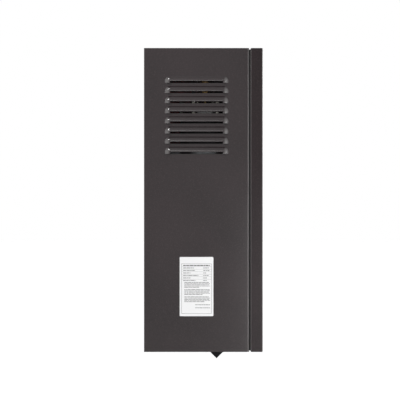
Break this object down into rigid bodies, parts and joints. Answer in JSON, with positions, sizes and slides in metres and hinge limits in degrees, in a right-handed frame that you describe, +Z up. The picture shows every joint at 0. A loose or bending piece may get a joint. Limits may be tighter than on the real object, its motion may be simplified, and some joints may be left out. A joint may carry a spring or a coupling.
{
  "type": "electric boiler",
  "caption": "Wall-hung electric heating boiler: dark sheet steel casing with louvred sides and a lift-off front, holding a heater tank, pump, expansion vessel and controls.",
  "frame": {"origin": "on the wall, in the middle of the casing's lower edge", "axes": "+X to the right seen from the front, +Y into the wall, +Z up"},
  "size_m": [0.3912, 0.252, 0.659],
  "materials": {
    "casing_paint": "fine powder coat, dark brown-grey, semi-gloss",
    "galvanised": "galvanised sheet steel",
    "zinc": "zinc plated",
    "stainless": "stainless steel, brushed",
    "element_steel": "drawn steel, slightly darkened",
    "label_white": "printed film, blank but for ruled lines",
    "black_rubber": "matt moulded rubber",
    "black_plastic": "moulded plastic with a fine grain",
    "grey_plastic": "smooth moulded plastic",
    "window_tint": "clear smoked acrylic",
    "display": "display glass over a light box",
    "board_green": "lacquered circuit board with parts",
    "relay_black": "moulded relay cases",
    "seal_red": "silicone rubber",
    "foam": "moulded black bead foam",
    "brass": "machined and cast brass",
    "copper": "drawn copper tube",
    "pump_iron": "coated cast iron",
    "motor_paint": "satin paint",
    "light_plastic": "natural moulded plastic",
    "knob_orange": "moulded plastic",
    "knob_red": "moulded plastic",
    "gauge_glass": "clear pane",
    "vessel_red": "satin enamel",
    "hose_braid": "hose with a steel braid",
    "terminal_white": "moulded terminal strip",
    "lead_insulation": "silicone insulated copper leads"
  },
  "bodies": {
    "casing": {"back_plate": "galvanised", "left_side": "casing_paint", "right_side": "casing_paint", "top_panel": "casing_paint", "bottom_panel": "casing_paint", "wall_bracket": "galvanised", "rating_label": "label_white", "cable_grommets": "black_rubber", "switch_housing": "black_plastic", "cross_rail": "galvanised", "control_board": "board_green", "display_module": "display", "tank": "stainless", "tank_gasket": "seal_red", "element_plate": "stainless", "heating_elements": "element_steel", "flange_bolts": "zinc", "tank_insulation": "foam", "inner_brackets": "galvanised", "vent_body": "brass", "thermal_cutout": "black_plastic", "pipe_sensor": "black_plastic", "pump_housing": "pump_iron", "pump_motor": "motor_paint", "pump_box": "black_plastic", "union_nuts": "brass", "supply_pipe": "copper", "supply_socket": "brass", "return_block": "brass", "relief_body": "brass", "gauge_body": "black_plastic", "gauge_glass": "gauge_glass", "gauge_capillary": "copper", "expansion_vessel": "vessel_red", "vessel_membrane": "black_rubber", "vessel_hose": "hose_braid", "electronics_tray": "galvanised", "power_board": "board_green", "relays": "relay_black", "terminal_block": "terminal_white", "wiring": "lead_insulation"},
    "cover": {"front_cover": "casing_paint", "cover_gasket": "black_rubber", "cover_screws": "zinc", "display_window": "window_tint"},
    "minus_key": {"key_minus": "grey_plastic"},
    "mode_key": {"key_mode": "grey_plastic"},
    "plus_key": {"key_plus": "grey_plastic"},
    "rocker": {"power_rocker": "grey_plastic"},
    "rotor": {"pump_rotor": "stainless", "pump_impeller": "light_plastic"},
    "pump_knob": {"speed_knob": "knob_orange"},
    "float": {"vent_float": "light_plastic"},
    "air_cap": {"vent_cap": "black_plastic"},
    "reset": {"reset_button": "knob_red"},
    "drain": {"drain_screw": "brass"},
    "valve_knob": {"relief_knob": "knob_red"},
    "valve_spindle": {"relief_spindle": "stainless", "relief_spring": "element_steel"},
    "needle": {"gauge_needle": "knob_red"}
  },
  "joints": [
    {"name": "cover_slide", "type": "slide", "parent": "casing", "child": "cover", "axis": [0, -1, 0], "range_m": [0, 0.15]},
    {"name": "minus_press", "type": "slide", "parent": "casing", "child": "minus_key", "axis": [0, 1, 0], "range_m": [0, 0.0006], "stiffness_N_per_m": 1500},
    {"name": "mode_press", "type": "slide", "parent": "casing", "child": "mode_key", "axis": [0, 1, 0], "range_m": [0, 0.0006], "stiffness_N_per_m": 1500},
    {"name": "plus_press", "type": "slide", "parent": "casing", "child": "plus_key", "axis": [0, 1, 0], "range_m": [0, 0.0006], "stiffness_N_per_m": 1500},
    {"name": "rocker_tilt", "type": "hinge", "parent": "casing", "child": "rocker", "pos_m": [-0.166, -0.16353, 0.00047], "axis": [-1, 0, 0], "range_deg": [0, 20]},
    {"name": "pump_spin", "type": "hinge", "parent": "casing", "child": "rotor", "pos_m": [-0.1248, -0.15, 0.125], "axis": [0, 1, 0], "continuous": true},
    {"name": "speed_turn", "type": "hinge", "parent": "casing", "child": "pump_knob", "pos_m": [-0.1248, -0.235, 0.125], "axis": [0, -1, 0], "range_deg": [0, 120]},
    {"name": "float_rise", "type": "slide", "parent": "casing", "child": "float", "axis": [0, 0, 1], "range_m": [0, 0.01]},
    {"name": "cap_turn", "type": "hinge", "parent": "casing", "child": "air_cap", "pos_m": [-0.1248, -0.13, 0.6], "axis": [0, 0, 1], "range_deg": [0, 360]},
    {"name": "reset_press", "type": "slide", "parent": "casing", "child": "reset", "axis": [0, 1, 0], "range_m": [0, 0.002], "stiffness_N_per_m": 800},
    {"name": "drain_turn", "type": "hinge", "parent": "casing", "child": "drain", "pos_m": [-0.1528, -0.13, 0.034], "axis": [-1, 0, 0], "range_deg": [0, 90]},
    {"name": "valve_turn", "type": "hinge", "parent": "casing", "child": "valve_knob", "pos_m": [-0.1248, -0.186, 0.06], "axis": [0, 0, 1], "range_deg": [0, 90]},
    {"name": "valve_lift", "type": "slide", "parent": "casing", "child": "valve_spindle", "axis": [0, 0, 1], "range_m": [0, 0.002], "deforming": ["relief_spring"]},
    {"name": "needle_turn", "type": "hinge", "parent": "casing", "child": "needle", "pos_m": [0.0102, -0.13, 0.0115], "axis": [0, 0, 1], "range_deg": [0, 270], "stiffness_Nm_per_rad": 0.0001}
  ],
  "couplings": [
    {"joint": "valve_turn", "follows": "valve_lift", "rad_per_m": 785.39}
  ]
}
